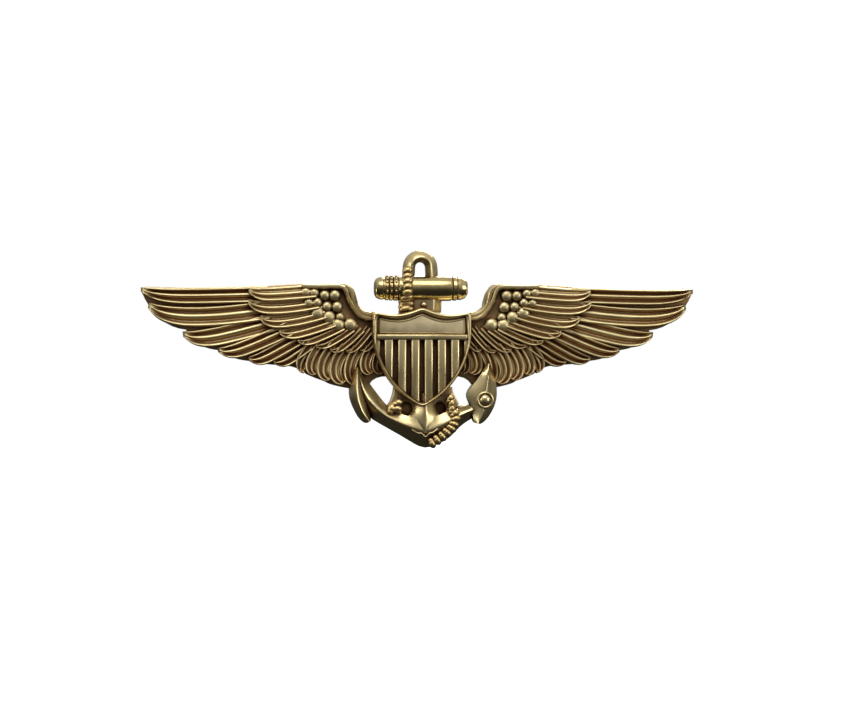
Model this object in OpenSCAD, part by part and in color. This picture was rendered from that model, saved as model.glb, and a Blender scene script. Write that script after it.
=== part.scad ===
// Pilot wings badge: two feathered wings, a fouled anchor and a shield on a flat back,
// held to cloth by two posts, each with a sprung butterfly clutch.
// +X to the viewer's right, +Z up, the relief faces -Y and the posts point to +Y.
// The origin is on the flat back, midway between the two posts.

/* [Badge] */
// Width over the two wing tips
span = 69.8; // [60:0.2:84]
// Height of a wing, from its lowest feather to its shoulder
wing_h = 13.2; // [11.8:0.1:15.9]
// Height of the wings' lowest feather below the posts
wing_drop = 8; // [7.6:0.1:8.6]
// Thickness of the flat plate behind the relief
plate_t = 1.2; // [1:0.1:1.5]

/* [Feathers] */
// Height of the long feathers above the plate
long_rise = 0.45; // [0.3:0.05:0.7]
// Height of the short covert feathers above the plate
covert_rise = 0.75; // [0.5:0.05:1]
// Width of a primary feather
primary_w = 2.15; // [1.8:0.05:2.4]
// Width of a secondary feather
secondary_w = 1.8; // [1.5:0.05:2.1]
// Width of a covert feather
covert_w = 1.5; // [1.2:0.05:1.7]
// Width of a tertial feather
tertial_w = 1.3; // [1:0.05:1.5]
// Radius of a round scale at the shoulder
scale_r = 0.6; // [0.45:0.05:0.7]
// Width of the bead along the leading edge
bead_w = 0.7; // [0.5:0.05:0.9]

/* [Shield] */
// Half of the shield's width
shield_half = 6.25; // [5.8:0.05:7]
// Height of the shield's top corners above the posts
shield_top = 1.7; // [1.4:0.1:2]
// Depth of the shield's point below the posts
shield_point = 10.4; // [9.8:0.1:11]
// Height of the field above the plate
field_rise = 1.3; // [1:0.1:1.6]
// Height of the rim and the stripes above the field
rim_rise = 0.7; // [0.4:0.1:1]
// Width of the rim
rim_w = 0.55; // [0.4:0.05:0.8]
// Distance from one stripe to the next
stripe_pitch = 1.66; // [1.5:0.02:1.8]
// Width of a stripe
stripe_w = 1; // [0.8:0.05:1.2]
// Thickness of the smooth panel across the top of the shield
chief_t = 0.35; // [0.2:0.05:0.5]

/* [Anchor] */
// Half of the shank's width where the shield hides it
shank_half = 1.4; // [1.1:0.05:1.6]
// Depth of the shank and the arms, from the flat back to the front
anchor_t = 2.3; // [2:0.1:2.6]
// Depth of the flukes, from the flat back to the front
fluke_t = 2.9; // [2.6:0.1:3.2]
// Half of the stock's length
stock_half = 5.9; // [5.2:0.1:6.6]
// Radius of the stock
stock_r = 1.42; // [1.25:0.01:1.5]
// Height of the stock's axis above the posts
stock_z = 4.75; // [4.6:0.05:5]
// Outer radius of the ring
ring_r = 2.2; // [2:0.05:2.5]
// Radius of a turn of the rope
rope_r = 0.55; // [0.45:0.05:0.65]

/* [Posts] */
// Distance from each post to the middle of the badge
post_x = 19; // [17:0.5:21]
// Radius of the solder pad under a post
pad_r = 1.6; // [1.3:0.05:1.9]
// Thickness of the pad, let into the plate
pad_t = 0.6; // [0.4:0.05:0.8]
// Radius of the shoulder that passes through the cloth
shoulder_r = 0.8; // [0.7:0.05:1]
// Length of the shoulder
shoulder_len = 2.4; // [2.4:0.1:3]
// Radius of the post above its shoulder
post_r = 0.55; // [0.45:0.05:0.6]
// Length of the post from the flat back to its tip
post_len = 8.2; // [7.8:0.1:9]

/* [Clutches] */
// Gap between a post's shoulder and the clutch's disc
disc_gap = 0.2; // [0.1:0.05:0.4]
// Radius of the clutch's disc and flange
flange_r = 4.7; // [4.4:0.1:6]
// Thickness of the clutch's sheet metal
sheet_t = 0.4; // [0.3:0.05:0.5]
// Outer radius of the clutch's cup
cup_r = 3.5; // [3.3:0.05:4.2]
// Height of the cup above its flange
cup_h = 4.6; // [4.4:0.1:5]
// Width of a squeeze finger
finger_w = 2.4; // [1.8:0.1:2.8]
// Thickness of a squeeze finger
finger_t = 0.35; // [0.25:0.05:0.4]
// Reach of a finger's tip from the post's axis
finger_reach = 6.4; // [6:0.1:7.4]
// Clearance between the jaws and the post
jaw_gap = 0.04; // [0.03:0.01:0.08]

/* [Hidden] */
$fn = 48;

gold = "goldenrod";
pale_gold = "khaki";
brass = "darkkhaki";
steel = "silver";

// The wing is laid out in percent of its length, from the shield's edge to the tip, and of its height.
wing_root = 5.65;
wing_len = span / 2 - wing_root;
tongue_x = shank_half + 0.4;
// Each feather: its root, the pull of its bend and its tip.
primaries = [
    [[50, 87], [77, 83], [99.5, 93]],
    [[48, 75], [75, 64], [94, 76]],
    [[46, 63], [66, 46], [79.5, 51]]
];
secondaries = [
    [[40, 54], [56, 35], [65.5, 37]],
    [[35, 47], [45, 28], [53, 30]],
    [[30, 43], [36, 26], [43, 27]]
];
tertials = [
    [[27, 40], [29, 25], [34, 23]],
    [[23, 38], [27, 21], [27, 15]],
    [[18, 36], [22, 19], [20, 9]],
    [[13, 35], [16, 17], [14, 7]],
    [[8, 35], [11, 15], [8.5, 4]]
];
coverts = [
    [[30, 92], [43, 86], [54, 94]],
    [[28, 80], [43, 73], [54.5, 83]],
    [[26, 71], [40, 59], [49, 69]],
    [[23, 64], [32, 49], [40.5, 56]],
    [[18, 59], [25, 44], [32.5, 49]],
    [[13, 56], [19, 39], [25.5, 44]],
    [[9, 53], [13, 36], [19, 39]],
    [[5, 53], [8, 36], [13, 37]]
];
// Middles of the round scales in the shoulder, in rows from the leading edge
scales = [
    [30.7, 90], [27, 90], [22.6, 88], [18.5, 88], [29, 81], [25.5, 81.5], [22, 77],
    [18, 77], [26, 72.5], [21, 67], [16.6, 68], [17, 60], [12.3, 60]
];
// The wing's edge from the shield, round the shoulder and out along the top
upper_edge = [
    [3, 68.5], [5.5, 70.5], [7.2, 74.5], [7.7, 82], [8.7, 90], [10.8, 97], [13, 99.5],
    [31, 99], [55, 95.8], [79, 95], [98.5, 96], [100, 94]
];
// The lower edge from the tip back to the fluke: one arc round each feather's end, as start, pull and end
lower_edge = [
    [[100, 92], [93, 58], [80.5, 55.5]],
    [[80, 53], [76.5, 38], [66.5, 36.2]],
    [[65.5, 35], [61, 27], [53, 26]],
    [[52, 25.5], [48, 22.5], [38, 22]],
    [[37.5, 21.5], [33, 20], [30, 14.5]],
    [[29.5, 13.5], [26, 10], [22, 7]],
    [[21.5, 6.5], [20, 3.5], [11, 0]]
];
// The leading edge's bead, from the coverts round the shoulder and down to the shield
leading_edge = [[31, 96], [13, 96], [11, 92], [10.5, 84], [8, 74], [4, 67]];

field_y = plate_t + field_rise;
rim_y = field_y + rim_rise;
ogive_z = -0.6;
ogive_c = (pow(shield_point + ogive_z, 2) - pow(shield_half, 2)) / (2 * shield_half);
chief_low = -1.15;
bar_low = -1.85;

fluke_left = [
    [-8.1, -5.1], [-8.8, -6.8], [-9, -8.4], [-8.4, -10.4], [-7.8, -11.7], [-6.9, -12.5],
    [-6.2, -12], [-6.9, -10], [-6.6, -8.2], [-6.3, -7.2], [-7.2, -5.7]
];
fluke_right = [
    [8.4, -4.9], [9.2, -6.3], [9.4, -8.2], [8.9, -10.4], [8, -12], [7.2, -12.5],
    [6.4, -11.7], [6.9, -10.6], [5.8, -8.7], [7, -7.3], [7.7, -6]
];
// Both arms with the crown between them
arms = [
    [-7.2, -7.6], [-6.3, -7.4], [-5.4, -8.4], [-4.7, -9.7], [-4.2, -10], [-3.8, -9.6], [-3.4, -8.4],
    [3.9, -8.4], [4.3, -9.2], [4.8, -9.5], [5.8, -9], [7.6, -9.6],
    [7.2, -11.4], [6.2, -11.8], [5, -12.7], [3.9, -14.2], [2.2, -15.2], [0.5, -15.6],
    [-0.7, -14.9], [-2.2, -13.9], [-4.2, -12.8], [-5.8, -11.9], [-7, -11.4]
];
shank = [
    [-2.5, stock_z], [2.6, stock_z], [2.6, 1.4], [shank_half, 0.8], [shank_half, -9], [-shank_half, -9],
    [-shank_half, 0.8], [-2.5, 1.4]
];
recess_r = 0.72;
boss_r = 0.97;
boss_at = [7.95, -9.4];
stock_y = 1.25;
ring_z = stock_z + 2.4;
ring_t = 2;
rope_pitch = 0.8;
// Middles of the lower rope's turns, round the right arm
lower_turns = [
    [3.6, -9.4], [3.8, -10.2], [4.1, -11], [4.1, -11.9], [3.9, -12.8], [3.4, -13.6],
    [2.7, -14.2], [1.9, -14.6], [1.2, -14.9], [-2.9, -9.9], [-3.1, -10.7], [-3.9, -10.5]
];

disc_y = shoulder_len + disc_gap;
flange_y = disc_y + sheet_t;
cup_top = flange_y + sheet_t + cup_h;
cup_inner = cup_r - sheet_t;
jaw_y = flange_y + 1.2;
pivot_y = flange_y + 3.2;
pivot_x = cup_r - sheet_t / 2;
slot_clear = 0.15;
knuckle_r = 0.3;
groove_depth = 0.12;
groove_len = 0.7;
spring_t = 0.3;

// ---- helpers ----

function wing_at(p) = [wing_root + wing_len * p[0] / 100, wing_h * p[1] / 100 - wing_drop];
function bend(p, t) = (1 - t) * (1 - t) * p[0] + 2 * t * (1 - t) * p[1] + t * t * p[2];
function heading(p, t) = (1 - t) * (p[1] - p[0]) + t * (p[2] - p[1]);
function left_of(d) = [-d[1], d[0]] / norm(d);
function swell(t) = t < 0.8 ? 1 : sqrt(max(0, 1 - pow((t - 0.8) / 0.2, 2)));
function vane_side(p, t, half) = bend(p, t) + half * swell(t) * left_of(heading(p, t));

// A polygon round a curved feather with a round tip
function vane(row, width, steps = 12) =
    let (p = [for (q = row) wing_at(q)])
    concat(
        [for (i = [0:steps]) vane_side(p, i / steps, width / 2)],
        [for (i = [steps - 1:-1:0]) vane_side(p, i / steps, -width / 2)]
    );

function turn_at(path, i) =
    left_of(path[min(i + 1, len(path) - 1)] - path[max(i - 1, 0)]);

// A polygon of even thickness along a path
function strip(path, thick) = concat(
    [for (i = [0:len(path) - 1]) path[i] + turn_at(path, i) * thick / 2],
    [for (i = [len(path) - 1:-1:0]) path[i] - turn_at(path, i) * thick / 2]
);

function shield_top_z(u, half) =
    shield_top + 0.5 * (1 - u / half) - 0.6 * sin(180 * u / half);

// The shield's outline, moved in by a distance
function shield_outline(inset, steps = 10) =
    let (
        half = shield_half - inset,
        r = ogive_c + half,
        sweep = acos(ogive_c / r)
    )
    concat(
        [for (i = [-steps:steps]) [half * i / steps, shield_top_z(abs(half * i / steps), half) - inset]],
        [for (i = [0:steps]) [r * cos(sweep * i / steps) - ogive_c, ogive_z - r * sin(sweep * i / steps)]],
        [for (i = [steps - 1:-1:0]) [ogive_c - r * cos(sweep * i / steps), ogive_z - r * sin(sweep * i / steps)]]
    );

// A flat layer in front of the back plane: from depth `back`, `thick` mm towards the viewer
module layer(back, thick) {
    translate([0, -back, 0]) rotate([90, 0, 0]) linear_extrude(thick) children();
}

// A cylinder along Y, starting at y and growing towards +Y
module peg(y, len, r) {
    translate([0, y, 0]) rotate([-90, 0, 0]) cylinder(h = len, r = r);
}

// ---- front of the badge ----

module wing_plan() {
    polygon(concat(
        [[tongue_x, wing_at([0, 12])[1]], [tongue_x, wing_at([0, 66])[1]]],
        [for (p = upper_edge) wing_at(p)],
        [for (arc = lower_edge) for (i = [0:5]) wing_at(bend(arc, i / 5))],
        [wing_at([6, 12])]
    ));
}

// One row of feathers, each a little prouder than the one before it
module feathers(rows, width, rise) {
    for (i = [0:len(rows) - 1]) layer(0, plate_t + rise + 0.04 * i) intersection() {
        polygon(vane(rows[i], width));
        wing_plan();
    }
}

module wing_relief() {
    layer(0, plate_t) wing_plan();
    feathers(primaries, primary_w, long_rise);
    feathers(secondaries, secondary_w, long_rise + 0.12);
    feathers(tertials, tertial_w, long_rise - 0.2);
    feathers(coverts, covert_w, covert_rise);
    for (p = scales) {
        q = wing_at(p);
        translate([q[0], -plate_t, q[1]]) rotate([90, 0, 0]) cylinder(h = covert_rise + 0.15, r = scale_r);
    }
    layer(0, plate_t + covert_rise + 0.35) polygon(strip([for (p = leading_edge) wing_at(p)], bead_w));
}

module wing() {
    difference() {
        wing_relief();
        layer(plate_t, 9) polygon(shield_outline(0));
        layer(plate_t, 9) polygon(fluke_right);
        layer(plate_t, 9) mirror([1, 0]) polygon(fluke_left);
        translate([post_x, 0, 0]) peg(-pad_t, pad_t + 1, pad_r);
    }
}

module left_wing() { color(gold) mirror([1, 0, 0]) wing(); }
module right_wing() { color(gold) wing(); }

module stock_shape() {
    difference() {
        translate([0, -stock_y, stock_z]) rotate([0, 90, 0]) rotate_extrude() polygon([
            [0, -stock_half], [stock_r * 0.6, -stock_half], [stock_r * 0.9, 0.5 - stock_half],
            [stock_r, 1.4 - stock_half], [stock_r, stock_half - 1.4], [stock_r * 0.9, stock_half - 0.5],
            [stock_r * 0.6, stock_half], [0, stock_half]
        ]);
        translate([-stock_half - 1, 0, 0]) cube([2 * stock_half + 2, 9, 9]);
    }
}

module anchor() {
    color(gold) difference() {
        union() {
            layer(0, anchor_t) polygon(shank);
            layer(0, anchor_t) polygon(arms);
            layer(0, fluke_t) polygon(fluke_left);
            layer(0, fluke_t) polygon(fluke_right);
            translate([boss_at[0], 0, boss_at[1]]) peg(-fluke_t - 0.4, 1, boss_r);
        }
        layer(-1, plate_t + 1) wing_plan();
        layer(-1, plate_t + 1) mirror([1, 0]) wing_plan();
        layer(plate_t, 9) polygon(shield_outline(0));
        stock_shape();
        for (x = [-1.8, 2.3]) translate([x, 0, -10.6]) peg(-anchor_t - 1, 2, recess_r);
    }
}

module anchor_stock() {
    color(gold) stock_shape();
}

module ring_shape() {
    difference() {
        union() {
            translate([0, 0, ring_z]) peg(-ring_t, ring_t, ring_r);
            layer(0, ring_t) polygon([
                [-ring_r, stock_z + 0.9], [ring_r, stock_z + 0.9], [ring_r * 0.995, ring_z], [-ring_r * 0.995, ring_z]
            ]);
        }
        layer(-1, 9) polygon([[-0.6, 0], [0.6, 0], [0.6, ring_z + 0.2], [-0.6, ring_z + 0.2]]);
        translate([0, 0, ring_z + 0.2]) peg(-9, 18, 0.6001);
        translate([0, 0, ring_z + 0.5]) peg(-9, 8, 1.05);
    }
}

module anchor_ring() {
    color(gold) difference() {
        ring_shape();
        stock_shape();
    }
}

// How far the anchor stands proud of the back under the upper rope, at a height
function rope_seat(z) =
    let (rise = pow(stock_r, 2) - pow(z - stock_z, 2))
    max(z > stock_z ? ring_t : anchor_t, rise > 0 ? stock_y + sqrt(rise) : 0);

module upper_rope() {
    low = shield_top + 0.6;
    high = ring_z - 0.3;
    turns = round((high - low) / rope_pitch);
    color(gold) difference() {
        for (i = [0:turns]) {
            z = low + (high - low) * i / turns;
            translate([-1.75, -rope_seat(z), z]) sphere(r = rope_r);
        }
        stock_shape();
        ring_shape();
        layer(0, anchor_t) polygon(shank);
        layer(plate_t, 9) polygon(shield_outline(0));
    }
}

module lower_rope() {
    color(gold) difference() {
        for (p = lower_turns) translate([p[0], -anchor_t, p[1]]) sphere(r = rope_r);
        layer(-1, anchor_t + 1) square(40, center = true);
        layer(plate_t, 9) polygon(shield_outline(0));
        layer(0, fluke_t) polygon(fluke_right);
    }
}

module chief_plan(inset) {
    intersection() {
        polygon(shield_outline(rim_w + inset));
        translate([-9, chief_low + inset]) square([18, 9]);
    }
}

module shield() {
    color(gold) difference() {
        union() {
            layer(plate_t, field_rise) polygon(shield_outline(0));
            layer(field_y - 0.1, rim_rise + 0.1) difference() {
                polygon(shield_outline(0));
                polygon(shield_outline(rim_w));
            }
            layer(field_y - 0.1, rim_rise + 0.1) intersection() {
                polygon(shield_outline(rim_w / 2));
                union() {
                    translate([-9, bar_low]) square([18, chief_low - bar_low]);
                    for (i = [-2.5:2.5]) translate([i * stripe_pitch - stripe_w / 2, -12]) square([stripe_w, 11]);
                }
            }
        }
        layer(field_y - chief_t / 2, 9) chief_plan(0);
    }
}

module chief_panel() {
    color(pale_gold) layer(field_y - chief_t / 2, chief_t) chief_plan(0);
}

// ---- back of the badge ----

module post() {
    peg(-pad_t, pad_t, pad_r);
    peg(-0.1, shoulder_len + 0.1, shoulder_r);
    difference() {
        peg(shoulder_len - 0.1, post_len - shoulder_len - 0.7, post_r);
        difference() {
            peg(jaw_y - groove_len / 2, groove_len, post_r + 1);
            peg(jaw_y - groove_len, groove_len * 2, post_r - groove_depth);
        }
    }
    translate([0, post_len - 0.8, 0]) rotate([-90, 0, 0]) cylinder(h = 0.8, r1 = post_r, r2 = 0.12);
}

module left_post() { color(steel) translate([-post_x, 0, 0]) post(); }
module right_post() { color(steel) translate([post_x, 0, 0]) post(); }

// The clutch is drawn round its post's axis and moved out to it.
module clutch_disc() {
    difference() {
        peg(disc_y, sheet_t, flange_r);
        peg(disc_y - 1, sheet_t + 2, shoulder_r);
    }
}

module clutch_cap() {
    difference() {
        union() {
            peg(flange_y, sheet_t, flange_r - 0.2);
            peg(flange_y, cup_top - flange_y, cup_r);
        }
        peg(flange_y - 1, cup_top - flange_y + 1 - sheet_t, cup_inner);
        peg(cup_top - 2, 3, post_r + 0.5);
        translate([-cup_r - 1, jaw_y - 0.4, -finger_w / 2 - slot_clear])
            cube([2 * cup_r + 2, cup_top - sheet_t - jaw_y, finger_w + 2 * slot_clear]);
    }
}

module clutch_spring() {
    top = cup_top - sheet_t;
    leg_z = finger_w / 2 + 0.3;
    difference() {
        peg(top - spring_t, spring_t, leg_z + spring_t);
        peg(top - 1, 2, post_r + 0.5);
    }
    for (s = [-1, 1]) translate([-0.8, jaw_y + 0.8, s * (leg_z + spring_t / 2) - spring_t / 2])
        cube([1.6, top - jaw_y - 0.9, spring_t]);
}

// A squeeze finger on the +X side: jaw at the post, then out through the slot and up to its tip,
// with a rolled knuckle where it turns in the cup's wall
module clutch_finger() {
    path = [
        [0.1, jaw_y], [cup_inner - 0.75, jaw_y + 0.2], [pivot_x, pivot_y],
        [pivot_x + 0.9, pivot_y + 1.4], [finger_reach, cup_top + 0.8]
    ];
    difference() {
        translate([0, 0, -finger_w / 2]) linear_extrude(finger_w) polygon(strip(path, finger_t));
        peg(jaw_y - 1, 2, post_r + jaw_gap);
    }
    translate([pivot_x, pivot_y, -finger_w / 2]) cylinder(h = finger_w, r = knuckle_r);
}

module left_clutch_disc() { color(brass) translate([-post_x, 0, 0]) clutch_disc(); }
module left_clutch_cap() { color(brass) translate([-post_x, 0, 0]) clutch_cap(); }
module left_clutch_spring() { color(steel) translate([-post_x, 0, 0]) clutch_spring(); }
module left_clutch_outer_finger() { color(brass) translate([-post_x, 0, 0]) mirror([1, 0, 0]) clutch_finger(); }
module left_clutch_inner_finger() { color(brass) translate([-post_x, 0, 0]) clutch_finger(); }
module right_clutch_disc() { color(brass) translate([post_x, 0, 0]) clutch_disc(); }
module right_clutch_cap() { color(brass) translate([post_x, 0, 0]) clutch_cap(); }
module right_clutch_spring() { color(steel) translate([post_x, 0, 0]) clutch_spring(); }
module right_clutch_outer_finger() { color(brass) translate([post_x, 0, 0]) clutch_finger(); }
module right_clutch_inner_finger() { color(brass) translate([post_x, 0, 0]) mirror([1, 0, 0]) clutch_finger(); }

left_wing();
right_wing();
anchor();
anchor_stock();
anchor_ring();
upper_rope();
lower_rope();
shield();
chief_panel();
left_post();
right_post();
left_clutch_disc();
left_clutch_cap();
left_clutch_spring();
left_clutch_outer_finger();
left_clutch_inner_finger();
right_clutch_disc();
right_clutch_cap();
right_clutch_spring();
right_clutch_outer_finger();
right_clutch_inner_finger();
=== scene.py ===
import math

import bmesh
import bpy
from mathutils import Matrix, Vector


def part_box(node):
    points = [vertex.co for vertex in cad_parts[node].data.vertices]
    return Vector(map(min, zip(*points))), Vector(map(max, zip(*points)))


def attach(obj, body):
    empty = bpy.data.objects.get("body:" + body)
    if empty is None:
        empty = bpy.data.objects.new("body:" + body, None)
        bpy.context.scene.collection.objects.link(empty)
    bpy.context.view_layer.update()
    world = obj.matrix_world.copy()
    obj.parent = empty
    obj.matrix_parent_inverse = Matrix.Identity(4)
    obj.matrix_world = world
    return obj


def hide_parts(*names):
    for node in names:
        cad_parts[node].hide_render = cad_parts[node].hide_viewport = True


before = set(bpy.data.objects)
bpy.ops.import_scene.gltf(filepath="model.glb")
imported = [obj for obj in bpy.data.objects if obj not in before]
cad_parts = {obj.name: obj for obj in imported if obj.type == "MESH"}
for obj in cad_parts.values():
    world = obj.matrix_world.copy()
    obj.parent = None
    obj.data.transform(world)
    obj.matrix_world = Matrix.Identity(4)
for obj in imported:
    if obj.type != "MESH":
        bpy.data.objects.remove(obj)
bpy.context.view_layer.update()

# Pieces are drawn lying on the bench in millimetres: x to the right, y towards the anchor's ring and z
# up out of the badge's flat back. stand_up() then turns each one upright and makes it metres.
MM = 0.001


def mm_box(node):
    """The lowest and highest corner of a CAD node, in bench millimetres."""
    lo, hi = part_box(node)
    return Vector((lo.x, lo.z, -hi.y)) / MM, Vector((hi.x, hi.z, -lo.y)) / MM


WING_LO, WING_HI = mm_box("right_wing")
SHIELD_LO, SHIELD_HI = mm_box("shield")
STOCK_LO, STOCK_HI = mm_box("anchor_stock")

# ---------------------------------------------------------------- sizes

PLATE = 1.2
WING_ROOT = 5.65
WING_LEN = WING_HI.x - WING_ROOT
# The wing's upper edge peaks at this share of the height that the tables below count in
PEAK = 0.995
WING_H = (WING_HI.y - WING_LO.y) / PEAK
TONGUE = WING_LO.x

# Each feather as its root, pull of the bend and tip, in percent of the wing's length and height, and its
# width in mm
PRIMARIES = [
    ((46, 89.2), (77, 86.3), (99.6, 87.2), 2.1),
    ((46, 74.5), (76, 63), (97, 71), 2.65),
    ((41, 65), (64, 49), (81.5, 44), 2.6),
]
SECONDARIES = [
    ((37, 57), (54, 38.5), (66.5, 30.5), 2.15),
    ((32, 49), (44, 33), (53.5, 23), 1.95),
    ((27, 45), (35.5, 30), (43, 21), 1.75),
]
TERTIALS = [
    ((26, 44), (31.5, 28), (33.5, 16.5), 1.7),
    ((22.5, 42), (29.5, 23), (27.3, 11.5), 1.75),
    ((17.5, 40), (25.5, 20), (21, 6), 1.8),
    ((12.5, 39), (20.5, 18), (15, 2.4), 1.8),
    ((7.5, 38), (14, 16), (9.0, 1.5), 1.7),
    ((2, 38), (6.5, 22), (3.2, 12), 1.6),
    ((-3, 38), (0.8, 24), (-1.2, 12.5), 1.5),
]
COVERTS = [
    ((26, 92), (43, 88), (54.5, 88), 1.8),
    ((25, 81.5), (42, 73.5), (55, 77.5), 1.8),
    ((22, 72), (37, 61.5), (49.8, 62.5), 1.8),
    ((18, 64), (31, 53), (41.5, 49.5), 1.7),
    ((14.5, 60), (25, 48), (33.5, 42), 1.55),
    ((10.5, 58), (19, 44), (26, 38), 1.45),
    ((6.5, 57), (13.5, 41), (19.2, 33.5), 1.35),
    ((2.5, 57), (8.5, 40), (12.5, 33), 1.3),
    ((-1, 55), (2.5, 42), (5.8, 34), 1.15),
]
# Each round scale as its place, in percent, and its radius in mm
SCALES = [
    (30.0, 91.0, 0.64), (26.4, 90.3, 0.6), (22.0, 88.2, 0.64), (17.6, 88.2, 0.68),
    (28.8, 81.1, 0.6), (25.2, 81.3, 0.6), (21.0, 77.6, 0.6), (16.6, 77.2, 0.66),
    (25.0, 71.3, 0.8), (20.2, 67.4, 0.78), (15.4, 67.6, 0.54), (16.2, 60.0, 0.8), (11.0, 60.2, 0.8),
]
# The scales are drawn a little wider than their radius, and stand this far out of the plate
SCALE_SPREAD = 1.14
SCALE_RISE = 0.68
UPPER_EDGE = [
    (3, 68.5), (5.5, 70.5), (7.2, 74.5), (7.7, 82), (8.7, 90), (10.8, 97), (13, 99.5),
    (31, 99), (55, 95.8), (79, 95), (97.6, 95.6), (99.2, 93.8),
]
# The lower edge's scallops, each an arc like a feather's
LOWER_EDGE = [
    ((99.4, 91.4), (93, 58), (80.5, 55.5)),
    ((80, 53), (76.5, 38), (66.5, 36.2)),
    ((65.5, 35), (61, 27), (53, 26)),
    ((52, 25.5), (48, 22.5), (38, 22)),
    ((37.5, 21.5), (33, 20), (30, 14.5)),
    ((29.5, 13.5), (26, 10), (22, 7)),
    ((21.5, 6.5), (20, 3.5), (11, 0)),
]
LEADING_EDGE = [
    (31.5, 96.6), (25, 96), (15.8, 96.2), (13.2, 92.8), (12, 85.5), (10.4, 78), (7.6, 70), (4.8, 66.5),
    (0, 65.5),
]
FLANGE = [
    (15.5, 96.2), (12.4, 95.2), (10.7, 90.5), (9.8, 83), (8.8, 76.8), (6.3, 71.6), (3.4, 69.2), (0, 68.2),
]

# ---------------------------------------------------------------- bench helpers


def wing_at(p):
    return Vector((WING_ROOT + WING_LEN * p[0] / 100, WING_LO.y + WING_H * p[1] / 100))


def bend(a, b, c, t):
    """A point on the arc from a to c that b pulls towards itself."""
    return a * (1 - t) ** 2 + b * 2 * t * (1 - t) + c * t**2


def soft_line(points, steps=6):
    """A smooth line through the points."""
    points = [Vector(p) for p in points]
    line = []
    for i in range(len(points) - 1):
        p0, p1, p2, p3 = (points[max(0, min(len(points) - 1, i + k))] for k in (-1, 0, 1, 2))
        for k in range(steps):
            t = k / steps
            line.append(0.5 * (2 * p1 + (p2 - p0) * t + (2 * p0 - 5 * p1 + 4 * p2 - p3) * t**2
                               + (3 * p1 - p0 - 3 * p2 + p3) * t**3))
    return line + [points[-1]]


def put_down():
    if bpy.context.object and bpy.context.object.mode != "OBJECT":
        bpy.ops.object.mode_set(mode="OBJECT")
    bpy.ops.object.select_all(action="DESELECT")


def take(*objs):
    put_down()
    for o in objs:
        o.select_set(True)
    bpy.context.view_layer.objects.active = objs[0]


def pick(obj, test):
    """In edit mode: selects the vertices whose place passes the test."""
    mesh = bmesh.from_edit_mesh(obj.data)
    for v in mesh.verts:
        v.select_set(test(v.co))
    mesh.select_flush_mode()
    bmesh.update_edit_mesh(obj.data)


def apply_modifiers(obj):
    take(obj)
    for m in list(obj.modifiers):
        bpy.ops.object.modifier_apply(modifier=m.name)


def join(name, objs):
    take(*objs)
    if len(objs) > 1:
        bpy.ops.object.join()
    obj = bpy.context.view_layer.objects.active
    obj.name = obj.data.name = name
    return obj


def copy_of(obj):
    twin = obj.copy()
    twin.data = obj.data.copy()
    bpy.context.collection.objects.link(twin)
    return twin


def mirrored(obj, name):
    twin = copy_of(obj)
    twin.name = twin.data.name = name
    take(twin)
    twin.scale.x = -1
    bpy.ops.object.transform_apply(location=True, rotation=True, scale=True)
    face_out(twin)
    return twin


def face_out(obj):
    take(obj)
    bpy.ops.object.mode_set(mode="EDIT")
    bpy.ops.mesh.select_all(action="SELECT")
    bpy.ops.mesh.normals_make_consistent(inside=False)
    bpy.ops.object.mode_set(mode="OBJECT")


def smooth(obj, levels):
    m = obj.modifiers.new("round", "SUBSURF")
    m.levels = m.render_levels = levels
    apply_modifiers(obj)


def set_down(obj, floor):
    """Closes an open sheet: its edge goes straight down to the floor, and a face closes the underside."""
    take(obj)
    bpy.ops.object.mode_set(mode="EDIT")
    bpy.ops.mesh.select_mode(type="EDGE")
    bpy.ops.mesh.select_all(action="DESELECT")
    bpy.ops.mesh.select_non_manifold()
    bpy.ops.mesh.extrude_edges_move(TRANSFORM_OT_translate={"value": (0, 0, -0.01)})
    bpy.ops.transform.resize(value=(1, 1, 0), center_override=(0, 0, floor))
    bpy.ops.mesh.edge_face_add()
    bpy.ops.mesh.select_mode(type="VERT")
    bpy.ops.object.mode_set(mode="OBJECT")
    face_out(obj)


def loft(name, rows, floor=0.0):
    """A sheet through rows of (x, y, z) points, closed down to the floor."""
    put_down()
    bpy.ops.mesh.primitive_grid_add(x_subdivisions=len(rows[0]) - 1, y_subdivisions=len(rows) - 1, size=2)
    obj = bpy.context.active_object
    obj.name = obj.data.name = name
    points = [p for row in rows for p in row]
    for v, p in zip(obj.data.vertices, points, strict=True):
        v.co = p
    smooth(obj, 1)
    set_down(obj, floor)
    return obj


def to_mesh(obj):
    """Turns a curve into a closed mesh that faces outwards."""
    take(obj)
    bpy.ops.object.convert(target="MESH")
    obj = bpy.context.view_layer.objects.active
    bpy.ops.object.transform_apply(location=True, rotation=True, scale=True)
    bpy.ops.object.mode_set(mode="EDIT")
    bpy.ops.mesh.select_all(action="SELECT")
    bpy.ops.mesh.remove_doubles(threshold=0.001)
    bpy.ops.object.mode_set(mode="OBJECT")
    face_out(obj)
    return obj


def slab(name, outlines, low, high, edge=0.15):
    """A flat plate with a rounded edge. The first outline is its rim, and the others are holes."""
    data = bpy.data.curves.new(name, "CURVE")
    data.dimensions = "2D"
    data.fill_mode = "BOTH"
    data.bevel_depth = edge
    data.bevel_resolution = 2
    data.offset = -edge
    data.extrude = (high - low) / 2 - edge
    for outline in outlines:
        spline = data.splines.new("POLY")
        spline.points.add(len(outline) - 1)
        spline.use_cyclic_u = True
        for point, p in zip(spline.points, outline):
            point.co = (p[0], p[1], 0, 1)
    obj = bpy.data.objects.new(name, data)
    bpy.context.collection.objects.link(obj)
    obj.location.z = (high + low) / 2
    return to_mesh(obj)


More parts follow.
